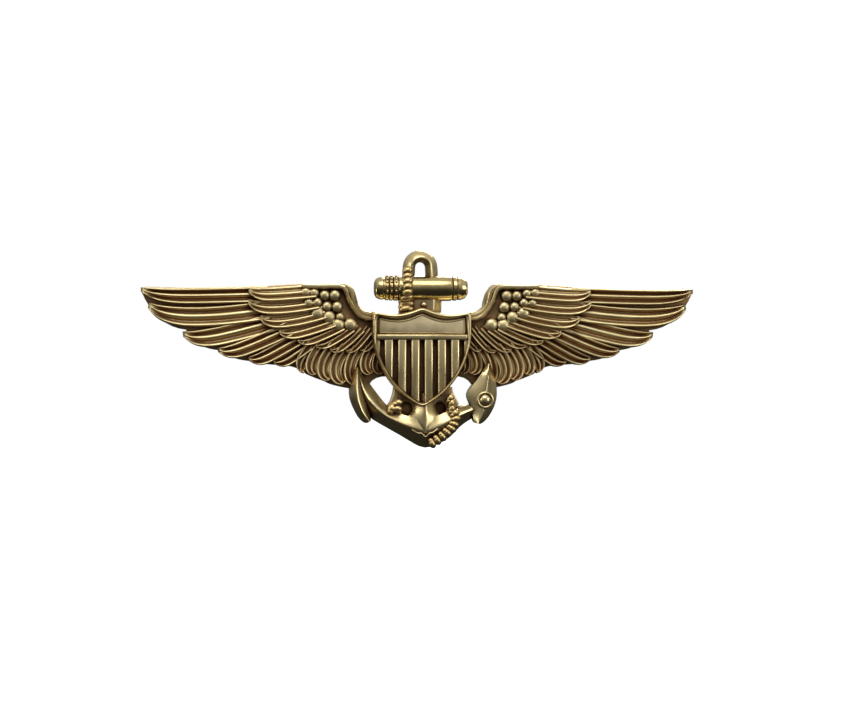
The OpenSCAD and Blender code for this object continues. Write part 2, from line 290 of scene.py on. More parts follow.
def tube(name, points, radius, closed=False, flatten=1.0):
    """A round bead that follows (x, y, z) points."""
    data = bpy.data.curves.new(name, "CURVE")
    data.dimensions = "3D"
    data.bevel_depth = radius
    data.bevel_resolution = 3
    data.use_fill_caps = True
    spline = data.splines.new("POLY")
    spline.points.add(len(points) - 1)
    spline.use_cyclic_u = closed
    for point, p in zip(spline.points, points):
        point.co = (p[0], p[1], p[2] / flatten, 1)
    obj = bpy.data.objects.new(name, data)
    bpy.context.collection.objects.link(obj)
    obj.scale.z = flatten
    return to_mesh(obj)


def hoop(name, sections):
    """A closed bead through sections, each a loop of (x, y, z) points."""
    put_down()
    bpy.ops.mesh.primitive_torus_add(major_segments=len(sections), minor_segments=len(sections[0]))
    obj = bpy.context.active_object
    obj.name = obj.data.name = name
    points = [p for section in sections for p in section]
    for v, p in zip(obj.data.vertices, points, strict=True):
        v.co = p
    face_out(obj)
    smooth(obj, 1)
    return obj


def lathe(name, profile, steps=40):
    """A turned piece round the bench's z axis, from (radius, height) points."""
    put_down()
    bpy.ops.mesh.primitive_plane_add(size=1)
    obj = bpy.context.active_object
    obj.name = obj.data.name = name
    bpy.ops.object.mode_set(mode="EDIT")
    bpy.ops.mesh.delete(type="VERT")
    mesh = bmesh.from_edit_mesh(obj.data)
    verts = [mesh.verts.new((r, 0, z)) for r, z in profile]
    for a, b in zip(verts, verts[1:]):
        mesh.edges.new((a, b))
    bmesh.update_edit_mesh(obj.data)
    bpy.ops.mesh.select_all(action="SELECT")
    bpy.ops.mesh.spin(steps=steps, angle=2 * math.pi, center=(0, 0, 0), axis=(0, 0, 1))
    bpy.ops.mesh.select_all(action="SELECT")
    bpy.ops.mesh.remove_doubles(threshold=0.001)
    bpy.ops.object.mode_set(mode="OBJECT")
    face_out(obj)
    return obj


def dome(at, radius, height, low):
    """A round scale: half a ball with a softly flattened crown, standing on the height `low`."""
    put_down()
    bpy.ops.mesh.primitive_uv_sphere_add(segments=20, ring_count=12, radius=radius,
                                         location=(at[0], at[1], low))
    obj = bpy.context.active_object
    bpy.ops.object.transform_apply(location=True, rotation=True, scale=True)
    bpy.ops.object.mode_set(mode="EDIT")
    bpy.ops.mesh.select_all(action="SELECT")
    bpy.ops.mesh.bisect(plane_co=(0, 0, low), plane_no=(0, 0, 1), clear_inner=True, use_fill=True)
    bpy.ops.mesh.select_all(action="SELECT")
    bpy.ops.transform.resize(value=(1, 1, height / radius), center_override=(at[0], at[1], low))
    pick(obj, lambda co: co.z > low + 0.92 * height)
    bpy.ops.transform.resize(value=(1, 1, 0.4), center_override=(at[0], at[1], low + 0.92 * height))
    bpy.ops.object.mode_set(mode="OBJECT")
    return obj


def stand_up(obj):
    take(obj)
    obj.rotation_euler = (math.pi / 2, 0, 0)
    obj.scale = (MM, MM, MM)
    bpy.ops.object.transform_apply(location=True, rotation=True, scale=True)


def place(obj, body, material, nodes=(), angle=40):
    """Stands a finished piece up, smooths its shading, gives it its body and its finish, and hides the CAD
    nodes that it stands for.
    """
    stand_up(obj)
    take(obj)
    bpy.ops.object.shade_smooth_by_angle(angle=math.radians(angle))
    obj.data.materials.clear()
    obj.data.materials.append(material)
    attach(obj, body)
    if nodes:
        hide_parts(*nodes)


# ---------------------------------------------------------------- finishes


class Finish:
    """A node material with the few steps that every metal here shares."""

    def __init__(self, name):
        self.material = bpy.data.materials.new(name)
        self.material.use_nodes = True
        self.tree = self.material.node_tree
        self.shader = self.tree.nodes["Principled BSDF"]

    def node(self, kind, **inputs):
        n = self.tree.nodes.new(kind)
        for key, value in inputs.items():
            n.inputs[key.replace("_", " ")].default_value = value
        return n

    def link(self, a, b):
        self.tree.links.new(a, b)

    def ramp(self, source, stops):
        n = self.tree.nodes.new("ShaderNodeValToRGB")
        elements = n.color_ramp.elements
        while len(elements) < len(stops):
            elements.new(0.5)
        for e, (at, colour) in zip(elements, stops):
            e.position = at
            e.color = (*colour, 1)
        self.link(source, n.inputs["Fac"])
        return n.outputs["Color"]

    def mix(self, factor, a, b, kind="MIX"):
        n = self.tree.nodes.new("ShaderNodeMix")
        n.data_type = "RGBA"
        n.blend_type = kind
        for value, socket in ((factor, n.inputs[0]), (a, n.inputs[6]), (b, n.inputs[7])):
            if hasattr(value, "is_output"):
                self.link(value, socket)
            elif isinstance(value, tuple):
                socket.default_value = (*value, 1)
            else:
                socket.default_value = value
        return n.outputs[2]

    def noise(self, scale, detail=4.0, rough=0.55):
        where = self.tree.nodes.new("ShaderNodeTexCoord")
        n = self.node("ShaderNodeTexNoise", Scale=scale, Detail=detail, Roughness=rough)
        self.link(where.outputs["Object"], n.inputs["Vector"])
        return n.outputs["Fac"]

    def shade(self, reach):
        """How open a spot is: 0 deep in a groove and 1 on a ridge."""
        n = self.node("ShaderNodeAmbientOcclusion", Distance=reach)
        n.samples = 8
        return n.outputs["AO"]

    def bump(self, height, strength, distance):
        n = self.node("ShaderNodeBump", Strength=strength, Distance=distance)
        self.link(height, n.inputs["Height"])
        self.link(n.outputs["Normal"], self.shader.inputs["Normal"])


GROOVE_REACH = 0.0011
GRAIN = 900.0
# The front tone, partly patina and partly painted shade, sets in between these depths in front of the back,
# just under the plate's very face
FRONT_FROM, FRONT_TO = -0.00104, -0.00117


def struck_gold(name, light, mid, groove, deep, rough=(0.2, 0.36), bump=0.12, patch=160.0, front=None):
    """Polished gold plate, brightest on its worn ridges and browned and darkened in its grooves, partly
    patina and partly painted shade and painted reflection. `front` is the tone of a plate's face between the
    feathers, where its back stays bright; that darker face is partly patina, partly painted shade."""
    f = Finish(name)
    wash = f.noise(patch, 3.0)
    tone = f.mix(f.ramp(wash, [(0.35, (0, 0, 0)), (0.68, (1, 1, 1))]), mid, light)
    # The plate's face takes the front tone by its depth alone: partly patina, partly painted shade.
    if front:
        where = f.tree.nodes.new("ShaderNodeTexCoord")
        split = f.tree.nodes.new("ShaderNodeSeparateXYZ")
        depth = f.node("ShaderNodeMapRange")
        depth.inputs["From Min"].default_value = FRONT_FROM
        depth.inputs["From Max"].default_value = FRONT_TO
        f.link(where.outputs["Object"], split.inputs[0])
        f.link(split.outputs["Y"], depth.inputs["Value"])
        tone = f.mix(depth.outputs[0], tone, front)
    # Grooves are browned and darkened by how open each spot is: partly patina, partly painted shade and
    # painted reflection.
    opened = f.shade(GROOVE_REACH)
    cavity = f.ramp(opened, [(0.5, (0, 0, 0)), (0.86, (1, 1, 1))])
    depth = f.ramp(opened, [(0.2, (0, 0, 0)), (0.6, (1, 1, 1))])
    patina_and_painted_shade = f.mix(depth, deep, groove)
    f.link(f.mix(cavity, patina_and_painted_shade, tone), f.shader.inputs["Base Color"])
    f.shader.inputs["Metallic"].default_value = 1.0
    polish = f.ramp(f.noise(420.0, 5.0), [(0.3, (rough[0],) * 3), (0.75, (rough[1],) * 3)])
    f.link(f.mix(cavity, (0.55, 0.55, 0.55), polish), f.shader.inputs["Roughness"])
    f.bump(f.noise(GRAIN, 3.0), bump, 0.00012)
    return f.material


def satin_metal(name, colour, dark, rough, grain=1400.0, bump=0.15):
    """Plain sheet or wire with a fine grain, small darker stains and painted shade darkening its creases."""
    f = Finish(name)
    stain = f.ramp(f.noise(260.0, 4.0), [(0.3, (0, 0, 0)), (0.6, (1, 1, 1))])
    base = f.mix(stain, dark, colour)
    # Creases are darkened by how open each spot is: painted shade.
    opened = f.ramp(f.shade(0.0008), [(0.15, (0.25, 0.2, 0.15)), (0.6, (1, 1, 1))])
    f.link(f.mix(1.0, base, opened, "MULTIPLY"), f.shader.inputs["Base Color"])
    f.shader.inputs["Metallic"].default_value = 1.0
    polish = f.ramp(f.noise(500.0, 3.0), [(0.3, (rough,) * 3), (0.8, (rough + 0.16,) * 3)])
    f.link(polish, f.shader.inputs["Roughness"])
    f.bump(f.noise(grain, 2.0), bump, 0.0001)
    return f.material


# The third and fourth colours of each gold are its groove and deepest groove tones: partly patina, partly
# painted shade and painted reflection.
GOLD = struck_gold("struck_gold", (0.70, 0.575, 0.31), (0.56, 0.445, 0.22), (0.22, 0.11, 0.05),
                   (0.06, 0.034, 0.018), rough=(0.24, 0.4))
FEATHER_GOLD = struck_gold("feather_gold", (0.68, 0.565, 0.30), (0.52, 0.41, 0.20), (0.29, 0.14, 0.055),
                           (0.11, 0.052, 0.022), rough=(0.34, 0.5))
SCALE_GOLD = struck_gold("scale_gold", (0.62, 0.52, 0.28), (0.50, 0.41, 0.21), (0.22, 0.11, 0.05),
                         (0.06, 0.034, 0.018), rough=(0.38, 0.54), bump=0.3)
PLATE_GOLD = struck_gold("plate_gold", (0.68, 0.57, 0.30), (0.61, 0.505, 0.26), (0.24, 0.13, 0.06),
                         (0.06, 0.034, 0.018), rough=(0.3, 0.4), bump=0.2, patch=900.0,
                         front=(0.32, 0.21, 0.09))
ROPE_GOLD = struck_gold("rope_gold", (0.62, 0.47, 0.22), (0.50, 0.36, 0.15), (0.20, 0.10, 0.04),
                        (0.05, 0.028, 0.015), rough=(0.3, 0.45))
# The stock's gold is a darker, more polished copy of the struck gold; its darker colour is painted shade.
STOCK_GOLD = struck_gold("stock_gold", (0.52, 0.42, 0.21), (0.42, 0.33, 0.15), (0.18, 0.09, 0.04),
                         (0.05, 0.028, 0.015), rough=(0.16, 0.3))
PALE = satin_metal("satin_panel", (0.66, 0.54, 0.33), (0.56, 0.45, 0.25), 0.36)
BRASS = satin_metal("sheet_brass", (0.80, 0.62, 0.30), (0.62, 0.45, 0.2), 0.22)
STEEL = satin_metal("post_wire", (0.66, 0.62, 0.55), (0.5, 0.46, 0.4), 0.3)
SPRING = satin_metal("spring_strip", (0.55, 0.55, 0.56), (0.4, 0.4, 0.42), 0.3)

# ---------------------------------------------------------------- feathers

# A feather's cross-section from its lower border to its upper rib: each step's share of the half-width, and
# its share of the rib's or the shaft's height
LONG_FEATHER = [
    (-1.0, 0), (-0.98, 0.65), (-0.91, 0.93), (-0.79, 1), (-0.66, 0.78), (-0.57, 0.42), (-0.49, 0.12),
    (-0.37, 0.1), (-0.27, 0.5), (-0.16, 0.86), (0, 1), (0.16, 0.86), (0.27, 0.5), (0.37, 0.1), (0.47, 0.12),
    (0.55, 0.45), (0.64, 0.85), (0.74, 1), (0.84, 0.86), (0.93, 0.55), (1.0, 0),
]
SHORT_FEATHER = [
    (-1.0, 0), (-0.98, 0.72), (-0.84, 1), (-0.64, 0.92), (-0.5, 0.38), (-0.4, 0.15), (-0.29, 0.38),
    (-0.16, 0.88), (0, 1), (0.16, 0.88), (0.29, 0.38), (0.42, 0.15), (0.54, 0.3), (0.68, 0.66), (0.82, 0.75),
    (0.96, 0.48), (1.0, 0),
]
ALONG = [0, 0.14, 0.28, 0.42, 0.55, 0.66, 0.75, 0.83, 0.89, 0.94, 0.975, 1.0]
# Shares of the length where the lower border starts to sweep up to the tip, and where the tip closes
SWEEP_FROM, SWEEP_SPAN = 0.64, 0.36
CLOSE_FROM, CLOSE_SPAN = 0.8, 0.2
# Steps nearer the middle than this belong to the shaft
SHAFT_SHARE = 0.3
FEATHER_FLOOR = -0.7


def feather_master(name, rib, shaft, tilt, section):
    """One feather of length 1 and half-width 1 with its tip swept to the +y side."""
    rows = []
    for side, share in section:
        height = share * (shaft if abs(side) < SHAFT_SHARE else rib)
        row = []
        for t in ALONG:
            late = max(0.0, (t - SWEEP_FROM) / SWEEP_SPAN)
            low = 1 - 2 * math.sqrt(max(0.0, 1 - late**2.2)) if late else -1.0
            low = min(low, 0.5)
            y = low + (side + 1) / 2 * (1 - low)
            z = height
            if late > CLOSE_FROM:
                close = (late - CLOSE_FROM) / CLOSE_SPAN
                z = max(z, rib * math.sin(math.pi * min(1.0, close * 0.8)) * (1 if abs(side) < 1 else 0))
            if t == 1.0:
                z = 0.0
            row.append((t, y, z - tilt * side))
        rows.append(row)
    return loft(name, rows, FEATHER_FLOOR)


def lay_feather(master, row, base, side):
    """A copy of the master, as long and wide as the row says, bent along its arc at the height `base`."""
    a, b, c = (wing_at(p) for p in row[:3])
    curve = bpy.data.curves.new("arc", "CURVE")
    curve.dimensions = "2D"
    curve.resolution_u = 24
    spline = curve.splines.new("BEZIER")
    spline.bezier_points.add(1)
    first, last = spline.bezier_points
    first.co, last.co = a.to_3d(), c.to_3d()
    first.handle_left_type = first.handle_right_type = "FREE"
    last.handle_left_type = last.handle_right_type = "FREE"
    first.handle_right = (a + (b - a) * 2 / 3).to_3d()
    first.handle_left = (a - (b - a) * 2 / 3).to_3d()
    last.handle_left = (c + (b - c) * 2 / 3).to_3d()
    last.handle_right = (c - (b - c) * 2 / 3).to_3d()
    guide = bpy.data.objects.new("arc", curve)
    bpy.context.collection.objects.link(guide)
    steps = [bend(a, b, c, i / 40) for i in range(41)]
    length = sum((q - p).length for p, q in zip(steps, steps[1:]))
    obj = copy_of(master)
    take(obj)
    obj.scale = (length, side * row[3] / 2, 1)
    bpy.ops.object.transform_apply(location=True, rotation=True, scale=True)
    m = obj.modifiers.new("bend", "CURVE")
    m.object = guide
    m.deform_axis = "POS_X"
    apply_modifiers(obj)
    obj.location.z = base
    bpy.ops.object.transform_apply(location=True, rotation=True, scale=True)
    bpy.data.objects.remove(guide)
    return obj


def feather_row(name, master, rows, base, step, side=1):
    """A row of feathers in one piece. `side` -1 turns the swept side of each tip round."""
    made = [lay_feather(master, row, base + step * i, side) for i, row in enumerate(rows)]
    feathers = join(name, made)
    face_out(feathers)
    return feathers


# The plate's round corner at the opening beside the shield: x and height above the wing's lowest point
OPENING_CORNER = [(6.9, 0.2), (6.45, 0.55), (6.1, 0.98), (5.6, 1.3), (4.9, 1.48)]


def build_wing():
    """The right wing's pieces, lying on the bench."""
    outline = [(TONGUE, wing_at((0, 12)).y), (TONGUE, wing_at((0, 66)).y)]
    outline += [tuple(wing_at(p)) for p in UPPER_EDGE]
    for arc in LOWER_EDGE:
        a, b, c = (wing_at(p) for p in arc)
        outline += [tuple(bend(a, b, c, i / 8)) for i in range(9)]
    outline += [(x, WING_LO.y + rise) for x, rise in OPENING_CORNER]
    plate = slab("plate", [outline], 0, PLATE, 0.16)
    long_master = feather_master("long_feather", 0.62, 0.52, 0.03, LONG_FEATHER)
    short_master = feather_master("short_feather", 0.55, 0.4, 0.12, SHORT_FEATHER)
    primaries = feather_row("primaries", long_master, PRIMARIES, PLATE + 0.05, -0.03)
    secondaries = feather_row("secondaries", long_master, SECONDARIES, PLATE + 0.1, -0.04)
    tertials = feather_row("tertials", short_master, TERTIALS, PLATE + 0.06, 0.0, side=-1)
    coverts = feather_row("coverts", short_master, COVERTS, PLATE + 0.42, -0.03)
    scales = join("scales", [dome(wing_at(s), s[2] * SCALE_SPREAD, SCALE_RISE, PLATE + 0.25) for s in SCALES])
    bead_line = soft_line([(*wing_at(p), PLATE + 0.5) for p in LEADING_EDGE])
    bead = tube("leading_edge", bead_line, 0.31, flatten=1.5)
    flange_line = soft_line([(*wing_at(p), PLATE + 0.14) for p in FLANGE])
    flange = tube("shoulder_flange", flange_line, 0.5, flatten=1.2)
    for master in (long_master, short_master):
        bpy.data.objects.remove(master)
    return {"plate": plate, "primaries": primaries, "secondaries": secondaries, "tertials": tertials,
            "coverts": coverts, "scales": scales, "leading_edge": bead, "shoulder_flange": flange}


WING_FINISHES = {"plate": PLATE_GOLD, "scales": SCALE_GOLD, "leading_edge": GOLD, "shoulder_flange": GOLD}
wing = build_wing()
for part, obj in wing.items():
    left = mirrored(obj, "left_" + part)
    obj.name = obj.data.name = "right_" + part
    finish = WING_FINISHES.get(part, FEATHER_GOLD)
    place(obj, "badge", finish, ("right_wing",))
    place(left, "badge", finish, ("left_wing",))

# ---------------------------------------------------------------- shield

OGIVE_Y = -0.6
SHIELD_HALF = SHIELD_HI.x
STRIPE_PITCH = 1.66
STRIPE_HALF = 0.56
STRIPE_TOP = -1.6
CORNER_X = 5.28
# Points of the shield's top edge, and the height at which the panel's sides begin
TOP_POINTS = 29
CHIEF_SIDE = -0.85
OGIVE_C = ((-SHIELD_LO.y + OGIVE_Y) ** 2 - SHIELD_HALF**2) / (2 * SHIELD_HALF)


def shield_line(inset, steps=14):
    """The shield's outline moved in by `inset`, from its left corner over the top and round by the point."""
    half = SHIELD_HALF - inset
    reach = OGIVE_C + half
    sweep = math.acos(OGIVE_C / reach)
    line = []
    for i in range(-steps, steps + 1):
        u = abs(i) / steps
        y = SHIELD_HI.y - 0.5 + 0.5 * (1 - u) - 0.6 * math.sin(math.pi * u) - inset
        line.append((half * i / steps, y))
    sides = [(reach * math.cos(sweep * i / steps) - OGIVE_C, OGIVE_Y - reach * math.sin(sweep * i / steps))
             for i in range(steps + 1)]
    line += sides
    line += [(-x, y) for x, y in sides[-2::-1]]
    return line


def side_x(y, inset):
    reach = OGIVE_C + SHIELD_HALF - inset
    return math.sqrt(reach**2 - (y - OGIVE_Y) ** 2) - OGIVE_C


def side_y(x, inset):
    reach = OGIVE_C + SHIELD_HALF - inset
    return OGIVE_Y - math.sqrt(max(0.0, reach**2 - (abs(x) + OGIVE_C) ** 2))


def chief_line(inset, low):
    """The smooth panel's outline: the shield's top, moved in, and its sides down to the height `low`."""
    right = [(side_x(y, inset), y) for y in (CHIEF_SIDE, low)]
    return shield_line(inset)[:TOP_POINTS] + right + [(-x, y) for x, y in right[::-1]]


def build_shield():
    floor = slab("shield_field", [shield_line(0.06)], PLATE - 0.1, 2.02, 0.1)
    outer, inner = shield_line(0.0), shield_line(1.0)
    profile = [(0.0, 1.1), (0.0, 2.3), (0.06, 2.85), (0.17, 3.1), (0.38, 3.16), (0.56, 3.0), (0.74, 2.6),
               (0.84, 1.95), (0.4, 1.1)]
    sections = []
    for p, q in zip(outer, inner):
        wide = 1.0 if p[1] > -1.0 else max(0.66, 1.0 + (p[1] + 1.0) * 0.3)
        dx, dy = (q[0] - p[0]) * wide, (q[1] - p[1]) * wide
        sections.append([(p[0] + dx * s, p[1] + dy * s, z) for s, z in profile])
    rim = hoop("shield_rim", sections)
    bars = []
    for i in range(6):
        x = (i - 2.5) * STRIPE_PITCH
        low = [(x + s * STRIPE_HALF, side_y(x + s * STRIPE_HALF, 0.3)) for s in (-1, -0.5, 0, 0.5, 1)]
        outline = [(x - STRIPE_HALF, STRIPE_TOP)] + low + [(x + STRIPE_HALF, STRIPE_TOP)]
        bars.append(slab("stripe", [outline], 1.6, 2.9, 0.27))
    for s in (-1, 1):
        edge = [(s * side_x(y, 0.3), y) for y in (STRIPE_TOP, -2.2, -2.9, -3.6)]
        outline = [(s * CORNER_X, STRIPE_TOP)] + edge + [(s * CORNER_X, side_y(CORNER_X, 0.3))]
        bars.append(slab("corner", [outline], 1.6, 2.75, 0.12))
    a, b = side_x(-1.24, 0.5), side_x(-1.95, 0.5)
    bars.append(slab("bar", [[(-a, -1.24), (-b, -1.95), (b, -1.95), (a, -1.24)]], 1.6, 2.98, 0.2))
    stripes = join("shield_stripes", bars)
    bed = slab("chief_bed", [chief_line(0.5, -1.3)], 1.8, 2.55, 0.05)
    lip = tube("shield_lip", [(x, y, 2.62) for x, y in chief_line(0.96, -1.1)], 0.13, closed=True)
    panel = slab("chief_panel_face", [chief_line(0.96, -1.1)], 1.9, 2.64, 0.04)
    return floor, rim, stripes, bed, lip, panel


for part in build_shield():
    if part.name == "chief_panel_face":
        place(part, "badge", PALE, ("chief_panel",))
    else:
        place(part, "badge", GOLD, ("shield",))

# ---------------------------------------------------------------- anchor


def ridged(name, stations, heights, floor=0.0):
    """A bar with a ridge: each station gives its inner, ridge and outer points, and heights their levels. A
    station may give its inner point a level of its own."""
    top, side = heights[1:]
    rows = [[], [], [], [], []]
    for station in stations:
        a, r, b = (Vector(p) for p in station[:3])
        low = station[3] if len(station) > 3 else heights[0]
        points = ((a, low), (r.lerp(a, 0.22), top - 0.14), (r, top), (r.lerp(b, 0.2), top - 0.2), (b, side))
        for row, (p, z) in zip(rows, points):
            row.append((p.x, p.y, z))
    return loft(name, rows, floor)


ARMS = [
    ((-7.8, -5.5), (-8.0, -5.7), (-8.2, -5.9)), ((-7.2, -6.3), (-7.7, -6.9), (-8.0, -7.3)),
    ((-6.5, -7.3), (-7.35, -8.2), (-7.8, -8.8)), ((-5.9, -8.1), (-6.75, -9.4), (-7.4, -10.3)),
    ((-5.0, -9.3), (-5.7, -10.6), (-6.5, -11.6)), ((-4.3, -10.1), (-4.6, -11.3), (-5.3, -12.3)),
    ((-3.3, -10.9), (-3.4, -12.0), (-3.9, -13.1), 1.85),
    ((-2.0, -11.4), (-2.0, -12.6), (-2.2, -14.05), 2.15),
    ((-0.8, -11.6), (-0.7, -13.0), (-0.8, -14.95), 2.25), ((0.45, -11.6), (0.45, -13.4), (0.45, -15.6), 2.3),
    ((1.8, -11.5), (1.65, -12.95), (1.9, -15.15), 2.25), ((3.2, -10.9), (3.05, -12.3), (3.8, -14.2), 1.95),
    ((4.2, -10.4), (4.4, -11.5), (4.9, -12.7)), ((5.1, -10.1), (5.6, -10.95), (6.1, -12.0)),
    ((6.1, -9.9), (6.4, -10.6), (6.9, -11.5)),
]
arms = ridged("anchor_arms", ARMS, (1.5, 2.62, 1.15))
LEFT_FLUKE = [
    ((-7.6, -5.7), (-8.1, -5.3), (-8.4, -5.7)), ((-7.3, -6.6), (-8.15, -6.8), (-8.8, -6.8)),
    ((-7.3, -7.6), (-8.2, -7.8), (-9.0, -8.0)), ((-7.2, -8.8), (-8.1, -9.1), (-8.95, -9.2)),
    ((-6.95, -10.0), (-7.75, -10.3), (-8.5, -10.3)), ((-6.6, -11.0), (-7.2, -11.3), (-7.9, -11.6)),
    ((-6.25, -11.9), (-6.6, -12.1), (-7.0, -12.45)),
]
left_fluke = ridged("left_fluke", LEFT_FLUKE, (2.1, 2.9, 1.5), 0.05)
# The right fluke's palm is seen from the front: a leaf with a ridge from its tip down past the boss.
RIGHT_FLUKE = [
    ((8.1, -5.1), (8.45, -4.85), (8.75, -5.2)), ((7.6, -6.0), (8.4, -6.0), (9.2, -6.1)),
    ((6.9, -7.1), (8.2, -7.3), (9.5, -7.4)), ((5.9, -8.2), (7.9, -8.6), (9.6, -8.7)),
    ((5.7, -9.1), (7.8, -9.7), (9.4, -9.9)), ((6.5, -10.4), (7.7, -10.8), (8.9, -11.0)),
    ((6.4, -11.5), (7.3, -11.8), (8.2, -12.0)), ((6.7, -12.3), (7.1, -12.4), (7.5, -12.5)),
]
right_fluke = ridged("right_fluke", RIGHT_FLUKE, (2.1, 2.7, 1.7), 0.05)
BOSS = (7.95, -9.45)
boss = [dome(BOSS, 0.72, 0.46, 2.55)]
put_down()
bpy.ops.mesh.primitive_torus_add(location=(*BOSS, 2.56), major_radius=0.92, minor_radius=0.2,
                                 major_segments=36, minor_segments=12)
boss.append(bpy.context.active_object)
boss[-1].scale.z = 0.8
bpy.ops.object.transform_apply(location=True, rotation=True, scale=True)
put_down()
bpy.ops.mesh.primitive_cylinder_add(vertices=32, radius=0.9, depth=2.3, location=(*BOSS, 1.45))
boss.append(bpy.context.active_object)
bpy.ops.object.transform_apply(location=True, rotation=True, scale=True)
boss = join("fluke_boss", boss)

WEB = [(-3.4, -7.8), (-3.5, -8.6), (-3.85, -9.6), (-4.25, -10.2), (-3.4, -11.6), (-1.5, -12.3), (0.4, -12.6),
       (2.4, -12.2), (4.0, -11.2), (4.75, -9.9), (4.4, -9.2), (4.05, -8.5), (3.9, -7.8)]
RECESSES = [(-1.85, -10.5), (2.4, -10.5)]
RECESS_WIDE, RECESS_TALL = 0.8, 0.88
CIRCLE = [k * math.pi / 12 for k in range(24)]
rings = [[(x + RECESS_WIDE * math.cos(t), y + RECESS_TALL * math.sin(t)) for t in CIRCLE]
         for x, y in RECESSES]
SPINE = [(-1.76, 0.8), (1.76, 0.8), (1.76, -8.6), (-1.76, -8.6)]
web = join("anchor_web", [slab("web", [WEB, *rings], 0.2, 1.75, 0.12),
                          slab("web_back", [WEB], 0.08, 0.4, 0.05),
                          slab("spine", [SPINE], 0.03, 1.3, 0.08)])


def across(name, columns, stations, floor):
    """A lofted bar. Its columns are (share of the width, height), and its stations give y, the left edge, the
    right edge and how far the surface sinks there."""
    rows = []
    for share, z in columns:
        rows.append([(s[1] + (s[2] - s[1]) * share, s[0], z - (s[3] if len(s) > 3 else 0)) for s in stations])
    return loft(name, rows, floor)


lower_shank = across(
    "lower_shank",
    [(0.0, 1.55), (0.06, 1.85), (0.44, 2.62), (0.5, 2.7), (0.56, 2.62), (0.94, 1.85), (1.0, 1.55)],
    [(-8.6, -0.95, 1.8), (-9.6, -0.95, 1.8), (-10.5, -1.0, 1.85), (-11.0, -1.2, 2.05), (-11.5, -1.9, 2.75),
     (-12.2, -2.2, 3.0), (-12.9, -1.4, 2.25, -0.02), (-13.5, -0.3, 1.15, 0.05)], 0.3,
)
upper_shank = across(
    "upper_shank",
    [(0.0, 0.7), (0.06, 1.4), (0.28, 1.75), (0.31, 1.95), (0.5, 1.88), (0.74, 1.95), (0.78, 2.08),
     (0.82, 1.9),
     (0.97, 1.3), (1.0, 0.7)],
    [(0.4, -2.75, 2.6), (1.6, -2.7, 2.62), (2.6, -2.65, 2.65), (3.4, -2.7, 2.7), (4.7, -2.8, 2.8)], 0.04,
)
CROWN_LINE = [(-1.3, -13.1, 2.5), (-0.6, -13.5, 2.52), (0.0, -13.62, 2.5), (0.45, -14.0, 2.45),
              (0.9, -13.6, 2.5), (1.4, -13.45, 2.5), (2.0, -13.0, 2.45)]
crown_line = tube("crown_line", soft_line(CROWN_LINE), 0.11)
put_down()
bpy.ops.mesh.primitive_uv_sphere_add(segments=20, ring_count=12, radius=0.36, location=(0.28, 2.5, 2.0))
ball = bpy.context.active_object
ball.name = ball.data.name = "shank_ball"
bpy.ops.object.transform_apply(location=True, rotation=True, scale=True)
for part in (arms, left_fluke, right_fluke, boss, web, lower_shank, upper_shank, ball, crown_line):
    place(part, "badge", GOLD, ("anchor",))

# ---------------------------------------------------------------- stock, ring and rope

# The bar lies a little lower than the CAD node, and is a little fatter than the profile below
STOCK_DROP = 0.22
STOCK_Y = (STOCK_LO.y + STOCK_HI.y) / 2 - STOCK_DROP
STOCK_SWELL = 1.1
STOCK_Z = 1.25
STUD_RADIUS = 0.17
STUD_RING = 1.56
stock = lathe("stock_bar", [
    (0, -5.88), (0.7, -5.86), (1.06, -5.66), (1.24, -5.3), (1.31, -4.85), (1.22, -4.7), (1.22, -4.58),
    (1.36, -4.48), (1.38, -4.2), (1.27, -4.08), (1.38, -3.96), (1.4, -3.66), (1.28, -3.54), (1.4, -3.42),
    (1.42, -3.0),
    (1.33, -2.9), (1.42, -2.78), (1.44, -1.5), (1.44, 0.0), (1.44, 2.0), (1.42, 3.6), (1.38, 3.8),
    (1.25, 3.92),
    (1.38, 4.04), (1.38, 4.4), (1.25, 4.52), (1.32, 4.66), (1.28, 5.1), (1.1, 5.55), (0.7, 5.84), (0, 5.88),
], 48)
take(stock)
stock.scale = (STOCK_SWELL, STOCK_SWELL, 1)
stock.rotation_euler = (0, math.pi / 2, 0)
stock.location = (0, STOCK_Y, STOCK_Z)
bpy.ops.object.transform_apply(location=True, rotation=True, scale=True)
bpy.ops.object.mode_set(mode="EDIT")
bpy.ops.mesh.select_all(action="SELECT")
bpy.ops.mesh.bisect(plane_co=(0, 0, 0.0), plane_no=(0, 0, 1), clear_inner=True, use_fill=True)
bpy.ops.object.mode_set(mode="OBJECT")
face_out(stock)
studs = []
for x in (-4.32, -3.78, -3.2):
    for k in range(5):
        turn = math.radians(20 + 21 * k)
        put_down()
        bpy.ops.mesh.primitive_ico_sphere_add(
            subdivisions=2, radius=STUD_RADIUS,
            location=(x, STOCK_Y + STUD_RING * math.cos(turn), STOCK_Z + STUD_RING * math.sin(turn)))
        studs.append(bpy.context.active_object)
studs = join("stock_studs", studs)
bpy.ops.object.transform_apply(location=True, rotation=True, scale=True)
place(stock, "badge", STOCK_GOLD, ("anchor_stock",), 30)
place(studs, "badge", STOCK_GOLD, ("anchor_stock",))

